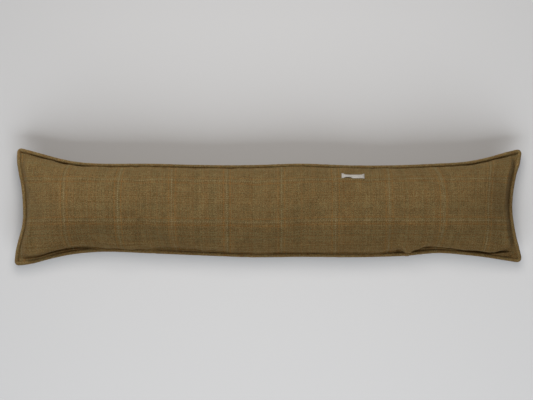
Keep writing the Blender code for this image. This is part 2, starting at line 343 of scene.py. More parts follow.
def dome(x, turn, across, fullness):
    """The filling's height, as a share, round the section and along the cushion."""
    return np.maximum(0.0, np.cos(turn)) ** fullness * rise(x) * puffed(x, across)


def plan_point(x, turn):
    across = np.sin(turn)
    near, far = along(SECTIONS, "near", x), along(SECTIONS, "far", x)
    y = near + (far - near) * (1 + across) / 2
    return x + end_shift(x, across), y, across


def held_flat(x, across):
    """Share of the filling's height that the ears beside the seams let through."""
    from_side, from_end = np.maximum(seam_distance(x, across), 0)
    ear = np.where(across < 0, along(EDGES, "near", x), along(EDGES, "far", x))
    power = EAR_EDGE + (WIDE_EAR_EDGE - EAR_EDGE) * smooth_step((ear - NARROW_EAR) / EAR_RANGE)
    return (1 - np.exp(-((from_side / ear) ** power))) * (1 - bell(from_end, END_EAR))


def ear_lift(x, across):
    """How much the near ears rise towards the crease, less the crease's depth."""
    from_side, from_end = seam_distance(x, across)
    ear = along(EDGES, "near", x)
    place = from_side / (EAR_LIFT_REACH * ear)
    inside = smooth_step(2 * place) * np.exp(-(place**8)) * smooth_step(from_end / EAR_LIFT_FADE)
    in_crease = bell(from_side - CREASE_PLACE * ear, CREASE_WIDTH)
    return np.where(across < 0, EAR_LIFT * inside - along(EDGES, "crease", x) * in_crease, 0)


def roll_height(roll, distance):
    on_roll = bell(distance / MM - roll.at, roll.width)
    in_hollow = bell(distance / MM - roll.hollow_at, roll.hollow_width)
    return (roll.height * on_roll - roll.hollow * in_hollow) * MM


def rolls(x, across):
    """What the rolls beside the seams add to the face's height."""
    from_side, from_end = seam_distance(x, across)
    by_side = np.where(across < 0, roll_height(NEAR_ROLL, from_side), roll_height(FAR_ROLL, from_side))
    by_end = roll_height(END_ROLL, from_end)
    return by_side * smooth_step(from_end / ROLL_END_FADE) + by_end * smooth_step(from_side / ROLL_SIDE_FADE)


def crest_drop(x, y, across):
    """How much the slopes on both sides of the crest take off the face's height."""
    width = along(SECTIONS, "far", x) - along(SECTIONS, "near", x)
    off_crest = (y - along(CREST, "y", x)) / (width / 2)
    tent = np.sqrt(off_crest**2 + CREST_WIDTH**2) - CREST_WIDTH
    return CREST_DROP * tent * smooth_step((1 - np.abs(across)) / CREST_FADE)


def groove(x, across):
    """The groove's depth at the seams, as a share, falling to 0 beside them."""
    from_side, from_end = seam_distance(x, across)
    by_side = np.where(across < 0, curve(EDGES, "groove", x / MM), 1)
    on_ear = smooth_step((EAR_GROOVE_REACH - from_side) / EAR_GROOVE_FADE) * (across < 0)
    by_end = END_GROOVE + (EAR_GROOVE - END_GROOVE) * on_ear
    return np.maximum(by_side * bell(from_side, GROOVE_WIDTH), by_end * bell(from_end, GROOVE_WIDTH))


def seamed(points, x, across):
    """Points of a panel with the seams drawn down and in under the piping."""
    points[..., 2] -= GROOVE_DEPTH * groove(x, across)
    at_side = bell((1 - np.abs(across)) * HALF_WIDTH, GROOVE_WIDTH)
    at_end = bell(HALF_LENGTH - np.abs(x), GROOVE_WIDTH)
    points[..., 1] += np.sign(across) * GROOVE_TUCK * at_side
    points[..., 0] += np.sign(x) * GROOVE_TUCK * at_end
    return points


def plain_face(x, turn):
    """Points of the face panel before its ears, rolls and overhangs, for the cloth's coordinates."""
    px, y, across = plan_point(x, turn)
    height = along(SECTIONS, "crown", x) * dome(x, turn, across, FACE_FULLNESS)
    return np.stack([px, y, seam_height(x, across) + height], axis=-1)


def face_point(x, turn):
    """Points of the face panel, from -90 degrees at the near seam to 90 at the far one."""
    px, y, across = plan_point(x, turn)
    degrees = np.degrees(turn)
    flat = held_flat(x, across)
    full = along(SECTIONS, "crown", x) + LUMP_HEIGHT * lumps(x, y) - crest_drop(x, y, across)
    height = full * dome(x, turn, across, FACE_FULLNESS) * flat
    height += rolls(x, across) * flat + ear_lift(x, across)
    ear_turn = EAR_TURN * np.maximum(0, along(EDGES, "near", x) - WIDE_EAR)
    hang = bell(degrees - HANG_TURN - ear_turn, HANG_SPREAD)
    seam_hold = smooth_step((90 + degrees) / SEAM_HOLD)
    nip = beak(x, degrees)
    over_piping = smooth_step((height - OVERHANG_FROM) / OVERHANG_RISE)
    out = along(EDGES, "over", x) * hang * over_piping
    out += (BEAK_REACH * nip - TUCK_DEPTH * tuck(x, degrees)) * seam_hold
    z = seam_height(x, across) + height - BEAK_DROP * nip * seam_hold
    return seamed(np.stack([px, y - out, z], axis=-1), x, across)


def back_point(x, turn):
    """Points of the back panel, which the floor flattens."""
    px, y, across = plan_point(x, turn)
    seam = seam_height(x, across)
    hang = BACK_DEPTH * dome(x, turn, across, BACK_FULLNESS) / seam
    eased = np.where(hang > FLAT_FROM, hang - (hang - FLAT_FROM) ** 2, hang)
    z = seam * (1 - np.where(hang > FLAT_TO, 1.0, eased))
    return seamed(np.stack([px, y, z], axis=-1), x, across)


def cloth_coordinates(grid):
    """Flat cloth coordinates of a grid of points: lengths along the cloth, and from its far seam."""
    steps = np.linalg.norm(np.diff(grid, axis=0), axis=2)
    length = np.vstack([np.zeros(steps.shape[1]), np.cumsum(steps, axis=0)])
    length -= length[len(length) // 2]
    rows = np.linalg.norm(np.diff(grid, axis=1), axis=2)
    width = np.hstack([np.zeros((rows.shape[0], 1)), np.cumsum(rows, axis=1)])
    width = width[:, -1:] - width
    return np.stack([length, width], axis=-1)


# The check's lines on the face, in millimetres: where each crosswise line lies at the far seam, on
# the crown and at the near seam, and where the two lengthwise lines lie along the length.
Line = namedtuple("Line", "far crown near")
LINES = [
    Line(far=-355, crown=-363.5, near=-344),
    Line(far=-259, crown=-265, near=-255),
    Line(far=-170, crown=-169, near=-162),
    Line(far=-73, crown=-72, near=-72),
    Line(far=23, crown=23, near=23),
    Line(far=118, crown=118, near=118),
    Line(far=211, crown=213, near=210),
    Line(far=292, crown=310.5, near=296),
    Line(far=394, crown=396, near=377),
]
Run = namedtuple("Run", "x upper lower")
RUNS = [
    Run(x=-445, upper=46, lower=-28),
    Run(x=-360, upper=46, lower=-27),
    Run(x=-150, upper=43, lower=-29),
    Run(x=0, upper=41, lower=-31),
    Run(x=120, upper=45, lower=-27),
    Run(x=250, upper=46, lower=-27),
    Run(x=445, upper=46, lower=-27),
]
CHECK_LENGTH = 97 * MM
CHECK_WIDTH = 82 * MM
FIRST_ACROSS = 41 * MM
BEND_POWER = 2.5  # the lines bend mostly close to the seams


def on_the_check(cloth, x, across, y):
    """Cloth coordinates eased along the cloth until the check's lines lie where LINES says."""
    eased = cloth.copy()
    table = np.array(LINES) * MM
    wanted = (np.arange(len(LINES)) - len(LINES) // 2) * CHECK_LENGTH
    for row in range(cloth.shape[1]):
        side = abs(across[0, row]) ** BEND_POWER
        end = table[:, 0] if across[0, row] > 0 else table[:, 2]
        places = table[:, 1] * (1 - side) + end * side
        change = wanted - np.interp(places, x[:, row], cloth[:, row, 0])
        eased[:, row, 0] += np.interp(x[:, row], places, change)
    upper, lower = along(RUNS, "upper", x[:, 0]), along(RUNS, "lower", x[:, 0])
    for column in range(cloth.shape[0]):
        widths, places = cloth[column, :, 1], y[column]
        ends = np.array([lower[column], upper[column]])
        change = np.array([FIRST_ACROSS + CHECK_WIDTH, FIRST_ACROSS]) - np.interp(ends, places, widths)
        eased[column, :, 1] += np.interp(y[column], ends, change)
    return eased


NOISE_CELLS = 256
NOISE_START = (64.37, 64.71)  # in cells, so that no size lines up with the middle of the cushion


class Unevenness:
    """Smooth random relief from about -1 to 1, the same each run, with bumps of a given size."""

    def __init__(self, seed, size):
        self.values = np.random.default_rng(seed).uniform(-1, 1, (NOISE_CELLS + 1, NOISE_CELLS + 1))
        self.size = size

    def at(self, u, v):
        place_u, place_v = u / self.size + NOISE_START[0], v / self.size + NOISE_START[1]
        i, j = np.floor(place_u).astype(int), np.floor(place_v).astype(int)
        s, t = smooth_step(place_u - i), smooth_step(place_v - j)
        i, j = i % NOISE_CELLS, j % NOISE_CELLS
        low = self.values[i, j] * (1 - s) + self.values[i + 1, j] * s
        high = self.values[i, j + 1] * (1 - s) + self.values[i + 1, j + 1] * s
        return low * (1 - t) + high * t


# Folds drawn on the face as seen from above: a soft trough, or a ridge where height is over 0,
# from one end to the other, bowed sideways by bow. Millimetres.
Fold = namedtuple("Fold", "x y to_x to_y height width bow")
FOLDS = [Fold(*row) for row in (
    (252, -80, 300, -56, 3.0, 3.4, 2),
    (243, -80, 228, -66, 1.8, 3.0, -1),
    (236, -84, 224, -78, -2.2, 3.0, 0),
    (272, -60, 296, -42, 0.9, 5, 2),
    (283, -63, 312, -46, -0.9, 5, 2),
    (236, -62, 222, -40, -0.6, 6, -2),
    (318, -58, 366, -38, 0.8, 8, 4),
    (340, -62, 392, -52, -0.8, 7, 3),
    (-372, -68, -318, -48, -0.7, 8, -5),
    (-330, -60, -262, -52, 0.6, 8, -4),
    (-404, 78, -372, 50, -0.8, 7, 3),
    (-392, 82, -350, 60, 0.7, 7, 3),
    (408, 74, 372, 48, -0.9, 7, -3),
    (386, 76, 340, 58, 0.6, 8, -3),
    (-420, -60, -392, -40, -0.8, 6, 2),
    (418, -56, 390, -30, -0.9, 7, -2),
    (-158, -74, -150, -44, -0.6, 5, 1),
    (-64, -74, -58, -50, 0.5, 5, -1),
    (30, 62, 38, 38, -0.5, 6, 1),
    (206, 62, 214, 36, -0.5, 6, -1),
)]
FOLD_START = 0.3  # shares of a fold's length, over which it rises and dies out
FOLD_FADE = 0.45


def fold_relief(points):
    """Height that FOLDS add at points of the face."""
    relief = np.zeros(points.shape[:2])
    for fold in FOLDS:
        start = np.array([fold.x, fold.y]) * MM
        run = np.array([fold.to_x, fold.to_y]) * MM - start
        length = np.linalg.norm(run)
        ahead = run / length
        side = np.array([-ahead[1], ahead[0]])
        offset = points[..., :2] - start
        share = offset @ ahead / length
        off_line = offset @ side - fold.bow * MM * 4 * share * (1 - share)
        taper = smooth_step(share / FOLD_START) * smooth_step((1 - share) / FOLD_FADE)
        relief += fold.height * MM * taper * bell(off_line, fold.width * MM)
    return relief


def grid_normals(points):
    """Unit normals of a grid of points, out of the side where its rows run leftwards."""
    ahead = np.gradient(points, axis=0)
    across = np.gradient(points, axis=1)
    normals = np.cross(ahead, across)
    return normals / np.maximum(np.linalg.norm(normals, axis=2, keepdims=True), 1e-12)


SOFT_LUMPS = Unevenness(seed=3, size=46 * MM)
SMALL_LUMPS = Unevenness(seed=5, size=19 * MM)
SIDE_PUCKERS = Unevenness(seed=8, size=9 * MM)
END_PUCKERS = Unevenness(seed=12, size=8 * MM)
SOFT_HEIGHT = 1.1 * MM
SMALL_HEIGHT = 0.35 * MM
SIDE_PUCKER_HEIGHT = 0.75 * MM
SIDE_PUCKER_REACH = 9 * MM
END_PUCKER_HEIGHT = 0.8 * MM
END_PUCKER_REACH = 16 * MM
PUCKER_SQUEEZE = 0.12  # the puckers are longer away from the seam by 1 over this
SIDE_HOLD = 3 * MM  # the seams hold the cloth this far in
END_HOLD = 5 * MM


def cloth_relief(points, cloth, x, turn, folds):
    """How far the cloth stands out from the smooth shape, with nothing at its seams."""
    from_side, from_end = seam_distance(x, np.sin(turn))
    u, v = cloth[..., 0], cloth[..., 1]
    relief = SOFT_HEIGHT * SOFT_LUMPS.at(u, v) + SMALL_HEIGHT * SMALL_LUMPS.at(u, v)
    by_side = SIDE_PUCKERS.at(u, v * PUCKER_SQUEEZE) * np.exp(-from_side / SIDE_PUCKER_REACH)
    by_end = END_PUCKERS.at(u * PUCKER_SQUEEZE, v) * np.exp(-from_end / END_PUCKER_REACH)
    relief += SIDE_PUCKER_HEIGHT * by_side + END_PUCKER_HEIGHT * by_end
    if folds:
        relief += fold_relief(points)
    return relief * smooth_step(from_side / SIDE_HOLD) * smooth_step(from_end / END_HOLD)


def columns():
    """x of each column of the cushion's mesh: closer at the ends and across the beak."""
    places = [-HALF_LENGTH]
    while places[-1] < HALF_LENGTH - END_STEP:
        x = places[-1]
        step = BEAK_STEP if BEAK_SPAN[0] < x < BEAK_SPAN[1] else COLUMN_STEP
        from_end = HALF_LENGTH - abs(x)
        places.append(x + min(step, END_STEP + from_end * END_GROWTH))
    places[-1] = HALF_LENGTH
    return np.array(places)


def turns(rows, crowding):
    share = np.linspace(-1, 1, rows + 1)
    return math.pi / 2 * (share + crowding * np.sin(math.pi * share) / math.pi)


def grid_indices(columns_count, rows_count):
    """Vertex numbers of the face grid and of the back grid, which share their seams."""
    face = np.arange(columns_count * rows_count).reshape(columns_count, rows_count)
    back = face.copy()
    inner = (columns_count - 2) * (rows_count - 2)
    back[1:-1, 1:-1] = face.size + np.arange(inner).reshape(columns_count - 2, -1)
    return face, back


def quads(index, flip):
    corners = [index[:-1, :-1], index[1:, :-1], index[1:, 1:], index[:-1, 1:]]
    if flip:
        corners.reverse()
    return np.stack([c.ravel() for c in corners], axis=1)


def settled(face, back):
    """How far the stuffing's pressure moves each point of coarse face and back grids.

    The seam stays where it is. The even swelling is taken off, and only the folds are kept.
    """
    face_index, back_index = grid_indices(*face.shape[:2])
    vertices = np.vstack([face.reshape(-1, 3), back[1:-1, 1:-1].reshape(-1, 3)])
    faces = np.vstack([quads(face_index, flip=False), quads(back_index, flip=True)])
    data = bpy.data.meshes.new("settling")
    data.from_pydata(vertices.tolist(), [], faces.tolist())
    trial = bpy.data.objects.new("settling", data)
    bpy.context.scene.collection.objects.link(trial)
    edge = np.concatenate([face_index[0], face_index[-1], face_index[:, 0], face_index[:, -1]])
    seam = trial.vertex_groups.new(name="seam")
    seam.add(sorted(set(edge.tolist())), 1.0, "REPLACE")
    cloth = trial.modifiers.new("stuffing", "CLOTH")
    cloth.settings.vertex_group_mass = "seam"
    cloth.settings.use_pressure = True
    cloth.settings.uniform_pressure_force = PRESSURE
    cloth.settings.effector_weights.gravity = 0
    cloth.settings.shrink_min = -SLACK
    cloth.settings.tension_stiffness = 40
    cloth.settings.compression_stiffness = 40
    cloth.settings.bending_stiffness = 3
    cloth.settings.mass = 0.4
    cloth.settings.quality = 5
    cloth.point_cache.frame_end = SETTLE_FRAMES
    for number in range(1, SETTLE_FRAMES + 1):
        bpy.context.scene.frame_set(number)
    shape = trial.evaluated_get(bpy.context.evaluated_depsgraph_get()).to_mesh()
    moved = np.zeros(len(shape.vertices) * 3, np.float32)
    shape.vertices.foreach_get("co", moved)
    moved = moved.reshape(-1, 3).astype(float) - vertices
    bpy.context.scene.frame_set(1)
    bpy.data.objects.remove(trial)
    return [folds_only(moved[index]) for index in (face_index, back_index)]


def folds_only(moved):
    """Takes the slow change off a grid of moves, and caps what is left."""
    slow = moved.copy()
    for _ in range(SETTLE_SMOOTHING):
        padded = np.pad(slow, ((1, 1), (1, 1), (0, 0)), mode="edge")
        slow = (padded[:-2, 1:-1] + padded[2:, 1:-1] + padded[1:-1, :-2] + padded[1:-1, 2:]) / 4
    quick = moved - slow
    length = np.linalg.norm(quick, axis=2, keepdims=True)
    return SETTLE_SHARE * quick * np.minimum(1, SETTLE_CAP / np.maximum(length, 1e-9))


def resampled(moves, from_x, from_turn, x, turn):
    """A coarse grid's moves at the finer grid's columns and rows."""
    by_column = np.stack(
        [[np.interp(x, from_x, moves[:, row, axis]) for axis in range(3)] for row in range(moves.shape[1])]
    )
    fine = np.empty((len(x), len(turn), 3))
    for axis in range(3):
        for column in range(len(x)):
            fine[column, :, axis] = np.interp(turn, from_turn, by_column[:, axis, column])
    return fine


def make_mesh(name, vertices, faces, loop_uv, material, sharp=()):
    """A smooth-shaded mesh object with its cloth coordinates as a UV map.

    sharp lists the vertices of a seam, where the shading doesn't run on from panel to panel.
    """
    data = bpy.data.meshes.new(name)
    data.from_pydata(vertices.tolist(), [], faces.tolist())
    layer = data.uv_layers.new(name="cloth")
    layer.uv.foreach_set("vector", loop_uv.astype(np.float32).ravel())
    data.materials.append(material)
    data.shade_smooth()
    if len(sharp):
        is_sharp = np.zeros(len(vertices), bool)
        is_sharp[sharp] = True
        ends = np.zeros(2 * len(data.edges), np.int32)
        data.edges.foreach_get("vertices", ends)
        data.edges.foreach_set("use_edge_sharp", is_sharp[ends].reshape(-1, 2).all(axis=1))
    obj = bpy.data.objects.new(name, data)
    bpy.context.scene.collection.objects.link(obj)
    return obj


def make_cushion(material):
    """The stuffed cushion: face and back panels on one closed mesh."""
    x, turn = columns(), turns(PANEL_ROWS, SEAM_CROWDING)
    grid_x, grid_turn = np.meshgrid(x, turn, indexing="ij")
    across = np.sin(grid_turn)
    face, back = face_point(grid_x, grid_turn), back_point(grid_x, grid_turn)
    plain = plain_face(grid_x, grid_turn)
    face_uv = on_the_check(cloth_coordinates(plain), grid_x, across, plain[..., 1])
    back_uv = cloth_coordinates(back)
    coarse_x = np.linspace(-HALF_LENGTH, HALF_LENGTH, SETTLE_COLUMNS + 1)
    coarse_turn = turns(SETTLE_ROWS, 0)
    coarse = np.meshgrid(coarse_x, coarse_turn, indexing="ij")
    moves = settled(face_point(*coarse), back_point(*coarse))
    face += resampled(moves[0], coarse_x, coarse_turn, x, turn)
    back += resampled(moves[1], coarse_x, coarse_turn, x, turn)
    face_relief = cloth_relief(face, face_uv, grid_x, grid_turn, folds=True)
    back_relief = cloth_relief(back, back_uv + BACK_PLACE, grid_x, grid_turn, folds=False)
    face += grid_normals(face) * face_relief[..., None]
    back -= grid_normals(back) * back_relief[..., None]
    back[..., 2] = np.maximum(back[..., 2], 0)
    face_index, back_index = grid_indices(len(x), len(turn))
    vertices = np.vstack([face.reshape(-1, 3), back[1:-1, 1:-1].reshape(-1, 3)])
    face_corners, back_corners = quads(face_index, flip=False), quads(face_index, flip=True)
    loop_uv = np.vstack([face_uv.reshape(-1, 2)[face_corners], back_uv.reshape(-1, 2)[back_corners]])
    faces = np.vstack([quads(face_index, flip=False), quads(back_index, flip=True)])
    seam = np.concatenate([face_index[0], face_index[-1], face_index[:, 0], face_index[:, -1]])
    cushion = make_mesh("cushion_cloth", vertices, faces, loop_uv, material, sharp=seam)
    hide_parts("cushion")
    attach(cushion, "root")
    return cushion


# The piping

CORD_STEP = 1.5 * MM
CORD_SIDES = 18
CORD_PUCKERS = Unevenness(seed=21, size=5 * MM)
CORD_WAVE = Unevenness(seed=23, size=38 * MM)
JOIN_X = -36 * MM  # where the cord's two ends meet at the near seam
JOIN_WIDTH = 1.2 * MM
JOIN_DEPTH = 0.16  # shares of the cord's radius
PUCKER_DEPTH = 0.045
WAVE_DEPTH = 0.03
PUCKER_TURN = 0.6  # how much shorter the puckers are round the cord
SEAM_GAP = 0.2 * MM
SIDE_POINTS = 600
END_POINTS = 130
CORNER_STEPS = 12
LINE_SMOOTHING = 4  # passes


def seam_point(x, turn):
    px, y, across = plan_point(x, turn)
    return np.stack([px, y, seam_height(x, across)], axis=-1)


def seam_runs():
    """The seam's four runs of points, anticlockwise from the near left corner."""
    x = np.linspace(-HALF_LENGTH, HALF_LENGTH, SIDE_POINTS)
    turn = np.arcsin(np.linspace(-1, 1, END_POINTS))
    near = seam_point(x, np.full_like(x, -math.pi / 2))
    far = seam_point(x, np.full_like(x, math.pi / 2))
    right = seam_point(np.full_like(turn, HALF_LENGTH), turn)
    left = seam_point(np.full_like(turn, -HALF_LENGTH), turn)
    return [near, right, far[::-1], left[::-1]]


def piping_line():
    """The cord's centreline, evenly spaced and closed."""
    offset = PIPING_RADIUS + SEAM_GAP
    runs = seam_runs()
    outward = []
    for run in runs:
        ahead = np.gradient(run, axis=0)
        normal = np.stack([ahead[:, 1], -ahead[:, 0], np.zeros(len(run))], axis=1)
        outward.append(normal / np.linalg.norm(normal, axis=1, keepdims=True))
    path = []
    for index, (run, normal) in enumerate(zip(runs, outward)):
        path.extend(run + normal * offset)
        turned = Vector(normal[-1])
        onward = Vector(outward[(index + 1) % len(runs)][0])
        for step in range(1, CORNER_STEPS):
            path.append(run[-1] + np.array(turned.slerp(onward, step / CORNER_STEPS)) * offset)
    path = np.array(path)
    steps = np.linalg.norm(np.roll(path, -1, axis=0) - path, axis=1)
    length = np.concatenate([[0], np.cumsum(steps)])
    closed = np.vstack([path, path[:1]])
    count = int(length[-1] / CORD_STEP)
    even = np.linspace(0, length[-1], count, endpoint=False)
    line = np.stack([np.interp(even, length, closed[:, axis]) for axis in range(3)], axis=1)
    for _ in range(LINE_SMOOTHING):
        line = (np.roll(line, 1, axis=0) + 2 * line + np.roll(line, -1, axis=0)) / 4
    return line, even


def make_piping(material):
    """A cord in a bias-cut cover, puckered where the seam holds it."""
    line, length = piping_line()
    ahead = np.roll(line, -1, axis=0) - np.roll(line, 1, axis=0)
    ahead /= np.linalg.norm(ahead, axis=1, keepdims=True)
    out = np.stack([ahead[:, 1], -ahead[:, 0], np.zeros(len(line))], axis=1)
    out /= np.linalg.norm(out, axis=1, keepdims=True)
    up = np.cross(out, ahead)
    angle = np.linspace(0, 2 * math.pi, CORD_SIDES, endpoint=False)
    along_cord, round_cord = np.meshgrid(length, angle, indexing="ij")
    pucker = PUCKER_DEPTH * CORD_PUCKERS.at(along_cord, round_cord * PIPING_RADIUS * PUCKER_TURN)
    radius = PIPING_RADIUS * (1 + pucker + WAVE_DEPTH * CORD_WAVE.at(along_cord, 0 * along_cord))
    at_join = (line[:, 1] < 0) * bell(line[:, 0] - JOIN_X, JOIN_WIDTH)
    radius *= 1 - JOIN_DEPTH * at_join[:, None]
    ring = np.cos(round_cord)[..., None] * out[:, None] + np.sin(round_cord)[..., None] * up[:, None]
    points = line[:, None] + ring * radius[..., None]
    count = len(line)
    index = np.arange(count * CORD_SIDES).reshape(count, CORD_SIDES)
    wrapped = np.pad(index, ((0, 1), (0, 1)), mode="wrap")
    faces = quads(wrapped, flip=False)
    wide_u = np.append(length, length[-1] + CORD_STEP)
    wide_v = np.append(angle, 2 * math.pi) * PIPING_RADIUS
    uv = np.stack(np.meshgrid(wide_u, wide_v, indexing="ij"), axis=-1).reshape(-1, 2)
    corners = quads(np.arange(len(uv)).reshape(count + 1, CORD_SIDES + 1), flip=False)
    piping = make_mesh("piping_cover", points.reshape(-1, 3), faces, uv[corners].reshape(-1, 2), material)
    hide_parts("piping")
    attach(piping, "root")
    return piping


# The label

LABEL_HALF = TAPE[-1].x * MM
LABEL_THICKNESS = 0.5 * MM
LABEL_COLUMNS = 70
LABEL_ROWS = 14
LABEL_CURL = 0.9 * MM  # how far its long edges curl down
STITCHES = 5  # at each end
STITCH_INSET = 1.6 * MM
STITCH_LENGTH = 1.5 * MM
STITCH_RADIUS = 0.28 * MM
STITCH_RINGS = 7
STITCH_SIDES = 8
STITCH_BLUNTNESS = 1.02  # over 1, its ends are blunt
RAY_FROM = 0.3  # metres over the floor, where the rays down to the cloth start


def on_cloth(cushion, x, y):
    """Points of the finished cushion's face at places in plan, and the cloth's mean normal there."""
    down = Vector((0, 0, -1))
    hits = [cushion.ray_cast(Vector((px, py, RAY_FROM)), down) for px, py in zip(x.ravel(), y.ravel())]
    points = np.array([hit[1] for hit in hits]).reshape(*x.shape, 3)
    normal = np.mean([hit[2] for hit in hits], axis=0)
    return points, normal / np.linalg.norm(normal)


def label_plan(place, share, steepness):
    """Places in plan of the label's own places: along it in metres, and across it from -0.5 to 0.5."""
    off = along(TAPE, "width", place) * steepness * share - along(TAPE, "dip", place)
    x = LABEL_X + place * math.cos(LABEL_TURN) - off * math.sin(LABEL_TURN)
    y = LABEL_Y + place * math.sin(LABEL_TURN) + off * math.cos(LABEL_TURN)
    return x, y


def label_points(cushion, place, share):
    """Points of the label's underside, and the direction that it stands off the cloth."""
    spot = np.array([[0.0]])
    _, normal = on_cloth(cushion, *label_plan(spot, spot, 1.0))
    ground, normal = on_cloth(cushion, *label_plan(place, share, normal[2]))
    curl = LABEL_CURL * (2 * np.abs(share)) ** 4 * smooth_step(1 - np.abs(place) / LABEL_HALF)
    return ground + normal * (along(TAPE, "lift", place) - curl)[..., None], normal


def make_label(material, cushion):
    """A bare strip of woven tape, stitched down at its two ends and loose between them."""
    places = np.linspace(-LABEL_HALF, LABEL_HALF, LABEL_COLUMNS + 1)
    place, share = np.meshgrid(places, np.linspace(-0.5, 0.5, LABEL_ROWS + 1), indexing="ij")
    points, _ = label_points(cushion, place, share)
    index = np.arange(points.shape[0] * points.shape[1]).reshape(points.shape[:2])
    width = along(TAPE, "width", place) * share
    uv = np.stack([place, width], axis=-1).reshape(-1, 2)
    faces = quads(index, flip=False)
    label = make_mesh("label_tape", points.reshape(-1, 3), faces, uv[faces].reshape(-1, 2), material)
    tape = label.modifiers.new("tape", "SOLIDIFY")
    tape.thickness = LABEL_THICKNESS
    tape.offset = 1
    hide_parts("label")
    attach(label, "root")


def make_stitches(material, cushion):
    """The short stitches across both ends of the label."""
    share = (np.arange(STITCHES) - (STITCHES - 1) / 2) / STITCHES
    reach = LABEL_HALF - STITCH_INSET
    place, share = np.meshgrid([-reach, reach], share, indexing="ij")
    middles, normal = label_points(cushion, place, share)
    middles = (middles + normal * LABEL_THICKNESS).reshape(-1, 3)
    ahead = np.cross(normal, [1.0, 0.0, 0.0])
    ahead /= np.linalg.norm(ahead)
    side = np.cross(ahead, normal)
    round_it = np.linspace(0, 2 * math.pi, STITCH_SIDES, endpoint=False)
    reach, angle = np.meshgrid(np.linspace(-1, 1, STITCH_RINGS), round_it, indexing="ij")
    radius = STITCH_RADIUS * np.sqrt(STITCH_BLUNTNESS - reach**2)
    ring = np.cos(angle)[..., None] * side + np.sin(angle)[..., None] * normal
    one = ring * radius[..., None] + reach[..., None] * ahead * STITCH_LENGTH / 2
    vertices = (middles[:, None] + one.reshape(1, -1, 3)).reshape(-1, 3)
    per_stitch = STITCH_RINGS * STITCH_SIDES
    index = np.arange(per_stitch).reshape(STITCH_RINGS, STITCH_SIDES)
    index = np.pad(index, ((0, 0), (0, 1)), mode="wrap")
    faces = np.vstack([quads(index, flip=True) + per_stitch * number for number in range(len(middles))])
    uv = np.stack([reach * STITCH_LENGTH / 2, angle * STITCH_RADIUS], axis=-1).reshape(-1, 2)
    loop_uv = np.tile(uv, (len(middles), 1))[faces].reshape(-1, 2)
    stitches = make_mesh("label_stitches", vertices, faces, loop_uv, material)
    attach(stitches, "root")


# Materials

class Value:
    """What a node works out, so that sums of it are written as sums. socket is the node's output."""

    def __init__(self, nodes, socket):
        self.nodes = nodes
        self.socket = socket

    def __add__(self, other):
        return self.nodes.math("ADD", self, other)

    def __sub__(self, other):
        return self.nodes.math("SUBTRACT", self, other)

    def __rsub__(self, other):
        return self.nodes.math("SUBTRACT", other, self)

    def __mul__(self, other):
        return self.nodes.math("MULTIPLY", self, other)

    def __truediv__(self, other):
        return self.nodes.math("DIVIDE", self, other)

    def clamped(self):
        self.socket.node.use_clamp = True
        return self


class Nodes:
    """Builds one material. Each call adds a node and gives back its Value."""

    def __init__(self, name):
        self.material = bpy.data.materials.new(name)
        self.material.use_nodes = True
        self.tree = self.material.node_tree
        self.shader = self.tree.nodes["Principled BSDF"]

    def put(self, socket, value):
        if isinstance(value, Value):
            self.tree.links.new(value.socket, socket)
        else:
            socket.default_value = value

    def add(self, kind, inputs, **settings):
        node = self.tree.nodes.new(kind)
        for key, value in settings.items():
            setattr(node, key, value)
        for key, value in inputs.items():
            self.put(node.inputs[key], value)
        return Value(self, node.outputs[0])

    def math(self, operation, *values):
        return self.add("ShaderNodeMath", dict(enumerate(values)), operation=operation)

    def colour_mix(self, share, low, high, blend="MIX"):
        node = self.tree.nodes.new("ShaderNodeMix")
        node.data_type = "RGBA"
        node.blend_type = blend
        self.put(node.inputs[0], share)
        self.put(node.inputs[6], low)
        self.put(node.inputs[7], high)
        return Value(self, node.outputs[2])

    def noise(self, vector, scale, detail):
        return self.add("ShaderNodeTexNoise", {"Vector": vector, "Scale": scale, "Detail": detail})

    def white(self, number):
        return self.add("ShaderNodeTexWhiteNoise", {"W": number}, noise_dimensions="1D")

    def vector(self, x, y, z=0.0):
        return self.add("ShaderNodeCombineXYZ", {0: x, 1: y, 2: z})

    def near_line(self, place, middle, half_width):
        """1 within half_width of middle, and 0 elsewhere."""
        return self.math("LESS_THAN", self.math("ABSOLUTE", place - middle), half_width)

    def cloth_place(self, turned=0.0):
        """The cloth's coordinates: as a vector, along it and across it."""
        uv = self.add("ShaderNodeUVMap", {}, uv_map="cloth")
        if turned:
            inputs = {"Vector": uv, "Angle": turned}
            uv = self.add("ShaderNodeVectorRotate", inputs, rotation_type="Z_AXIS")
        along_cloth = self.add("ShaderNodeSeparateXYZ", {0: uv})
        return uv, along_cloth, Value(self, along_cloth.socket.node.outputs[1])

    def cover(self, colour, shade, height, strength, depth):
        """Gives the shader a colour times a shade, and bumps of a height."""
        shaded = self.colour_mix(1.0, colour, self.vector(shade, shade, shade), blend="MULTIPLY")
        self.put(self.shader.inputs["Base Color"], shaded)
        bump = self.add("ShaderNodeBump", {"Strength": strength, "Distance": depth, "Height": height})
        self.put(self.shader.inputs["Normal"], bump)


THREAD = 1.0 * MM
TWILL_REPEAT = 4
WEFT_START = 1000.0  # keeps the weft yarns' random numbers apart from the warp's
FIBRE_LENGTH = 3.5 * MM
FLECK_START = 37.0  # how far apart two yarns' flecks may start
PALE_WARP = 0.70  # how strongly the check's pale yarns show in each direction
PALE_WEFT = 0.54
ORANGE_WARP = 1.0
ORANGE_WEFT = 0.75

# How a yarn's shade is put together: its own, its flecks', its grain's, and less a ground shade
OWN_SHADE = 0.26
FLECK_SHADE = 0.9
GRAIN_SHADE = 0.38
GROUND_SHADE = 0.31

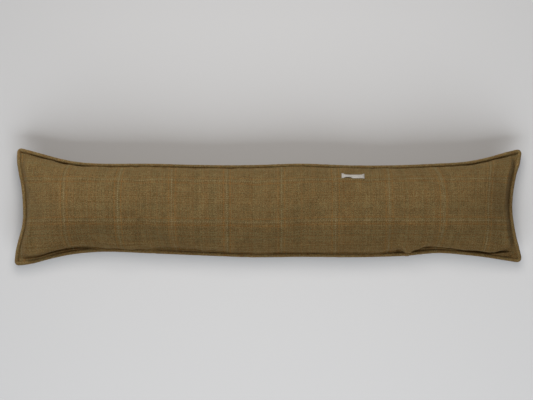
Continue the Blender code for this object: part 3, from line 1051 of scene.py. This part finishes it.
# The cloth's shade: blotches of two sizes, in bumps a metre, and painted shade by the round of its yarns: lighter
# along their middles, darker in the gaps where two meet
MOTTLE_SCALE = 330.0
MOTTLE_SHADE = 0.75
CLOUD_SCALE = 60.0
CLOUD_SHADE = 0.5
EVEN_SHADE = 0.375
# painted shade: the yarns' middles are painted lighter and the gaps between them darker
YARN_MIDDLE_PAINTED_LIGHT = 0.45
YARN_GAP_PAINTED_SHADE = 0.68
FUZZ_SCALE = 2600.0
FUZZ_HEIGHT = 0.8

# How the check's yarns show and fade along their length: noise with bumps of length, moved on by
# apart from yarn to yarn, times gain, less floor. What shows is least, and up to span more.
Fading = namedtuple("Fading", "length apart detail gain floor span least")
WEAR = Fading(length=9 * MM, apart=3.3, detail=3.0, gain=2.6, floor=0.78, span=0.8, least=0.12)
PATCHES = Fading(length=38 * MM, apart=5.1, detail=1.0, gain=3.0, floor=0.95, span=0.65, least=0.35)
DOTS = Fading(length=2.6 * MM, apart=7.7, detail=2.0, gain=3.2, floor=1.15, span=0.5, least=0.2)

# The check: a pale line between two orange ones, in both directions of the cloth.
PALE_HALF_WIDTH = 0.55 * MM
ORANGE_OFFSET = 6.0 * MM
ORANGE_HALF_WIDTH = 1.0 * MM

# The wools that are carded together, dark to light, and the check's two yarns.
Wool = namedtuple("Wool", "place red green blue")
HEATHER = [
    Wool(place=0.0, red=0.075, green=0.043, blue=0.016),
    Wool(place=0.34, red=0.145, green=0.086, blue=0.031),
    Wool(place=0.52, red=0.185, green=0.125, blue=0.049),
    Wool(place=0.68, red=0.205, green=0.154, blue=0.071),
    Wool(place=0.86, red=0.330, green=0.220, blue=0.100),
    Wool(place=1.0, red=0.440, green=0.335, blue=0.195),
]
RUST = (0.215, 0.098, 0.030, 1)  # what some of the warp yarns lean to, and some of the weft ones
SAGE = (0.158, 0.158, 0.080, 1)
DYED_SHARE = 0.35
DYED_FROM = 0.3  # flecks darker than this keep the ground's colour
DYED_STRENGTH = 2.2
PALE = (0.36, 0.35, 0.20, 1)
ORANGE = (0.33, 0.125, 0.022, 1)


def fading(nodes, index, along_yarn, kind):
    """How much of a yarn of the check shows along it."""
    place = nodes.vector(along_yarn / kind.length, index * kind.apart)
    shown = nodes.noise(place, 1.0, kind.detail) * kind.gain - kind.floor
    return shown.clamped() * kind.span + kind.least


def check_colour(nodes, index, along_yarn, ground, repeat, first, strengths):
    """The yarn's colour: its ground colour, or the pale or the orange of the check."""
    pale_strength, orange_strength = strengths
    place = nodes.math("PINGPONG", (index + 0.5) * THREAD - first, repeat / 2)
    pale = nodes.near_line(place, 0.0, PALE_HALF_WIDTH)
    orange = nodes.near_line(place, ORANGE_OFFSET, ORANGE_HALF_WIDTH)
    worn = fading(nodes, index, along_yarn, WEAR) * pale_strength
    with_pale = nodes.colour_mix(pale * (worn * fading(nodes, index, along_yarn, PATCHES)), ground, PALE)
    dots = fading(nodes, index, along_yarn, DOTS) * orange_strength
    return nodes.colour_mix(orange * dots, with_pale, ORANGE)


def heather(nodes, along_yarn, index, dye):
    """A yarn's colour: its own shade, and flecks of the carded wools along it."""
    own = nodes.white(index)
    flecks = nodes.noise(nodes.vector(along_yarn / FIBRE_LENGTH + own * FLECK_START, index), 1.0, detail=3.0)
    grain_place = nodes.vector(nodes.math("FLOOR", along_yarn / THREAD), index)
    grain = nodes.add("ShaderNodeTexWhiteNoise", {"Vector": grain_place}, noise_dimensions="2D")
    ramp = nodes.tree.nodes.new("ShaderNodeValToRGB")
    nodes.put(ramp.inputs[0], own * OWN_SHADE + flecks * FLECK_SHADE + grain * GRAIN_SHADE - GROUND_SHADE)
    elements = ramp.color_ramp.elements
    while len(elements) < len(HEATHER):
        elements.new(0.5)
    for element, wool in zip(elements, HEATHER):
        element.position = wool.place
        element.color = (wool.red, wool.green, wool.blue, 1)
    dyed = nodes.math("LESS_THAN", nodes.white(index + 0.5), DYED_SHARE)
    leaning = ((flecks - DYED_FROM) * DYED_STRENGTH).clamped()
    return nodes.colour_mix(dyed * leaning, Value(nodes, ramp.outputs[0]), dye)


def tweed_material(name, check, turned=0.0, painted_lightening=1.0):
    """Woven wool: a two-and-two twill of heather yarns, with or without the check."""
    nodes = Nodes(name)
    uv, u, v = nodes.cloth_place(turned)
    warp, weft = u / THREAD, v / THREAD
    warp_index, weft_index = nodes.math("FLOOR", warp), nodes.math("FLOOR", weft)
    warp_up = nodes.math("LESS_THAN", nodes.math("FRACT", (warp_index + weft_index) / TWILL_REPEAT), 0.5)
    warp_colour = heather(nodes, v, warp_index, RUST)
    weft_colour = heather(nodes, u, weft_index + WEFT_START, SAGE)
    if check:
        warp_strengths, weft_strengths = (PALE_WARP, ORANGE_WARP), (PALE_WEFT, ORANGE_WEFT)
        warp_colour = check_colour(nodes, warp_index, v, warp_colour, CHECK_LENGTH, 0.0, warp_strengths)
        weft_colour = check_colour(nodes, weft_index, u, weft_colour, CHECK_WIDTH, FIRST_ACROSS, weft_strengths)
    woven = nodes.colour_mix(warp_up, weft_colour, warp_colour)
    mottle = nodes.noise(uv, MOTTLE_SCALE, detail=3.0)
    cloudy = nodes.noise(uv, CLOUD_SCALE, detail=3.0)
    # painted light: a factor over 1 here paints a copy of the tweed lighter all over, standing in for light it
    # lacks
    tone = (mottle * MOTTLE_SHADE + cloudy * CLOUD_SHADE + EVEN_SHADE) * painted_lightening
    # Yarns are round: high along their middles and low where two meet. Their colour follows that as painted light
    # along their middles and painted shade in the gaps.
    warp_round = nodes.math("SINE", nodes.math("FRACT", warp) * math.pi)
    weft_round = nodes.math("SINE", nodes.math("FRACT", weft) * math.pi)
    height = warp_round * warp_up + weft_round * (1.0 - warp_up)
    relief = height + nodes.noise(uv, FUZZ_SCALE, detail=2.0) * FUZZ_HEIGHT
    nodes.cover(woven, tone * (height * YARN_MIDDLE_PAINTED_LIGHT + YARN_GAP_PAINTED_SHADE), relief, strength=0.8, depth=0.3 * MM)
    nodes.shader.inputs["Roughness"].default_value = 0.92
    nodes.shader.inputs["Specular IOR Level"].default_value = 0.0
    nodes.shader.inputs["Sheen Weight"].default_value = 0.14
    nodes.shader.inputs["Sheen Roughness"].default_value = 0.5
    nodes.shader.inputs["Sheen Tint"].default_value = (0.60, 0.50, 0.32, 1)
    return nodes.material


TAPE_RIB = 0.45 * MM
TAPE_THREAD = 0.36 * MM
TAPE_COLOUR = (0.49, 0.46, 0.415, 1)
GRIME_SCALE = 240.0
THREAD_TWIST = 0.5 * MM
THREAD_COLOUR = (0.50, 0.47, 0.41, 1)


def tape_material():
    """White woven tape: fine ribs across it, and a plain weave between them."""
    nodes = Nodes("label_tape")
    uv, u, v = nodes.cloth_place()
    rib = nodes.math("SINE", u * (2 * math.pi / TAPE_RIB))
    weave = rib * nodes.math("SINE", v * (2 * math.pi / TAPE_THREAD))
    shade = weave * 0.04 + nodes.noise(uv, GRIME_SCALE, detail=3.0) * 0.22 + 0.82
    nodes.cover(TAPE_COLOUR, shade, weave, strength=0.5, depth=0.2 * MM)
    nodes.shader.inputs["Roughness"].default_value = 0.7
    nodes.shader.inputs["Sheen Weight"].default_value = 0.1
    return nodes.material


def thread_material():
    """The label's sewing thread: a two-ply twist."""
    nodes = Nodes("sewing_thread")
    _, u, v = nodes.cloth_place()
    ply = nodes.math("SINE", (u + v) * (2 * math.pi / THREAD_TWIST))
    nodes.cover(THREAD_COLOUR, ply * 0.10 + 0.88, ply, strength=0.6, depth=0.1 * MM)
    nodes.shader.inputs["Roughness"].default_value = 0.6
    return nodes.material


def floor_material():
    nodes = Nodes("pale_floor")
    nodes.shader.inputs["Base Color"].default_value = (0.385, 0.385, 0.388, 1)
    nodes.shader.inputs["Roughness"].default_value = 0.85
    return nodes.material


# Stage

PHOTO_SCALE = 1.782 * MM  # a pixel's width at the height of the cushion's corners
PHOTO_WIDTH_PX = 533
VIEW_CENTRE = Vector((-3.0 * MM, 11.6 * MM, 34 * MM))
VIEW_ELEVATION = math.radians(86.5)
VIEW_DISTANCE = 2.2
SENSOR = 36  # millimetres
FLOOR_HALF = 6.0
ROOM_COLOUR = (1.0, 0.93, 0.86, 1)
ROOM_STRENGTH = 0.16


def make_camera():
    data = bpy.data.cameras.new("camera")
    data.sensor_width = SENSOR
    data.lens = SENSOR * VIEW_DISTANCE / (PHOTO_SCALE * PHOTO_WIDTH_PX)
    data.clip_end = 50
    camera = bpy.data.objects.new("camera", data)
    back = Vector((0, -math.cos(VIEW_ELEVATION), math.sin(VIEW_ELEVATION)))
    camera.location = VIEW_CENTRE + back * VIEW_DISTANCE
    camera.rotation_euler = (math.pi / 2 - VIEW_ELEVATION, 0, 0)
    bpy.context.scene.collection.objects.link(camera)
    bpy.context.scene.camera = camera


# The lamps, in metres. The floor has lamps of its own: front gives the soft shadow behind the
# cushion, and ceiling lights the floor up to its edges. Warmth is what red has more, and blue less.
Lamp = namedtuple("Lamp", "name x y z width depth watts warmth lights")
LAMPS = [
    Lamp(name="key", x=-1.0, y=2.2, z=1.8, width=1.4, depth=1.0, watts=66, warmth=0, lights="all but the floor"),
    Lamp(name="fill", x=0.2, y=-1.5, z=1.8, width=2.4, depth=0.8, watts=24, warmth=0, lights="all but the floor"),
    Lamp(name="top", x=0.0, y=0.1, z=3.0, width=2.4, depth=1.6, watts=10, warmth=0, lights="all but the floor"),
    Lamp(name="front", x=0.0, y=-3.2, z=2.2, width=4.2, depth=2.3, watts=268, warmth=-0.04, lights="floor"),
    Lamp(name="ceiling", x=0.0, y=0.42, z=1.5, width=0.8, depth=1.0, watts=17.5, warmth=0.05, lights="floor"),
]


def make_lights(floor):
    lit = {}
    for name, state in (("floor", "INCLUDE"), ("all but the floor", "EXCLUDE")):
        lit[name] = bpy.data.collections.new(name)
        lit[name].objects.link(floor)
        lit[name].collection_objects[0].light_linking.link_state = state
    for lamp in LAMPS:
        data = bpy.data.lights.new(lamp.name, "AREA")
        data.shape = "RECTANGLE"
        data.size, data.size_y = lamp.width, lamp.depth
        data.energy = lamp.watts
        data.color = (1 + lamp.warmth, 1, 1 - lamp.warmth)
        light = bpy.data.objects.new(lamp.name, data)
        light.location = (lamp.x, lamp.y, lamp.z)
        light.rotation_euler = (-light.location).to_track_quat("-Z", "Y").to_euler()
        bpy.context.scene.collection.objects.link(light)
        light.light_linking.receiver_collection = lit[lamp.lights]
    world = bpy.data.worlds.new("soft_room")
    world.use_nodes = True
    world.node_tree.nodes["Background"].inputs["Color"].default_value = ROOM_COLOUR
    world.node_tree.nodes["Background"].inputs["Strength"].default_value = ROOM_STRENGTH
    bpy.context.scene.world = world


def make_floor():
    corners = [(x * FLOOR_HALF, y * FLOOR_HALF, 0) for x, y in ((-1, -1), (1, -1), (1, 1), (-1, 1))]
    data = bpy.data.meshes.new("floor")
    data.from_pydata(corners, [], [(0, 1, 2, 3)])
    data.materials.append(floor_material())
    floor = bpy.data.objects.new("floor", data)
    bpy.context.scene.collection.objects.link(floor)
    return floor


def main():
    bpy.context.scene.view_settings.view_transform = "Standard"
    make_camera()
    make_lights(make_floor())
    tweed = tweed_material("tweed", check=True)
    # The piping's copy of the tweed is painted 15% lighter: painted light standing in for light that the shaded
    # piping lacks.
    piping_tweed = tweed_material("piping_tweed", check=False, turned=math.radians(45), painted_lightening=1.15)
    tape = tape_material()
    cushion = make_cushion(tweed)
    make_piping(piping_tweed)
    make_label(tape, cushion)
    make_stitches(thread_material(), cushion)


main()
